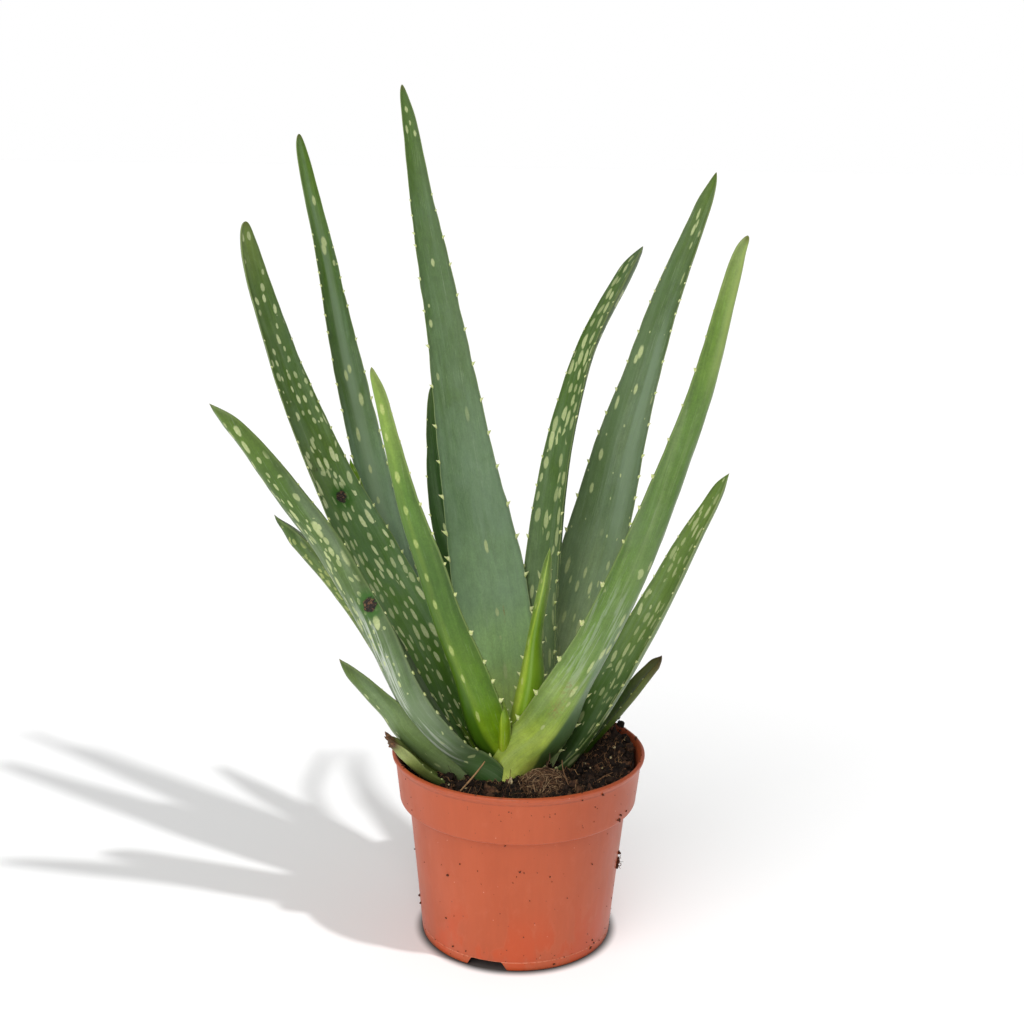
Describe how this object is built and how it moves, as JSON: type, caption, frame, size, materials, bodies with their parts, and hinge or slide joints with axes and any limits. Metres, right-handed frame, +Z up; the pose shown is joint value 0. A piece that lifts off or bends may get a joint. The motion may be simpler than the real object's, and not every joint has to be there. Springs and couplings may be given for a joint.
{
  "type": "potted aloe plant",
  "caption": "Potted aloe: a rosette of long, tapering, toothed and spotted fleshy leaves growing from dark soil in a round plastic nursery pot with a rolled lip.",
  "frame": {"origin": "centre of the pot's underside, on the surface the pot stands on", "axes": "+Z up through the pot, -Y towards the front of the plant, +X to the right as seen from the front"},
  "size_m": [0.2321, 0.1777, 0.3977],
  "materials": {
    "pot": "satin",
    "soil": "matte",
    "stem": "matte",
    "root_tuft": "matte",
    "leaf_blue_green": "satin",
    "leaf_spotted": "satin",
    "leaf_young": "satin",
    "leaf_pale_green": "satin",
    "leaf_dark": "satin"
  },
  "bodies": {
    "root": {"pot": "pot", "soil": "soil", "stem": "stem", "root_tuft": "root_tuft", "leaf_tall_centre": "leaf_blue_green", "leaf_back_left": "leaf_spotted", "leaf_young_left": "leaf_young", "leaf_left_spotted": "leaf_spotted", "leaf_centre_young": "leaf_young", "leaf_centre_tiny": "leaf_young", "leaf_front_right": "leaf_pale_green", "leaf_right_dark": "leaf_dark", "leaf_back_right": "leaf_spotted", "leaf_right_spotted": "leaf_spotted", "leaf_front_left": "leaf_blue_green", "leaf_small_left": "leaf_spotted", "leaf_low_left": "leaf_spotted", "leaf_cut_stub": "leaf_pale_green", "leaf_low_right": "leaf_dark", "leaf_back_dark": "leaf_dark", "leaf_bright_back": "leaf_young"}
  },
  "joints": []
}
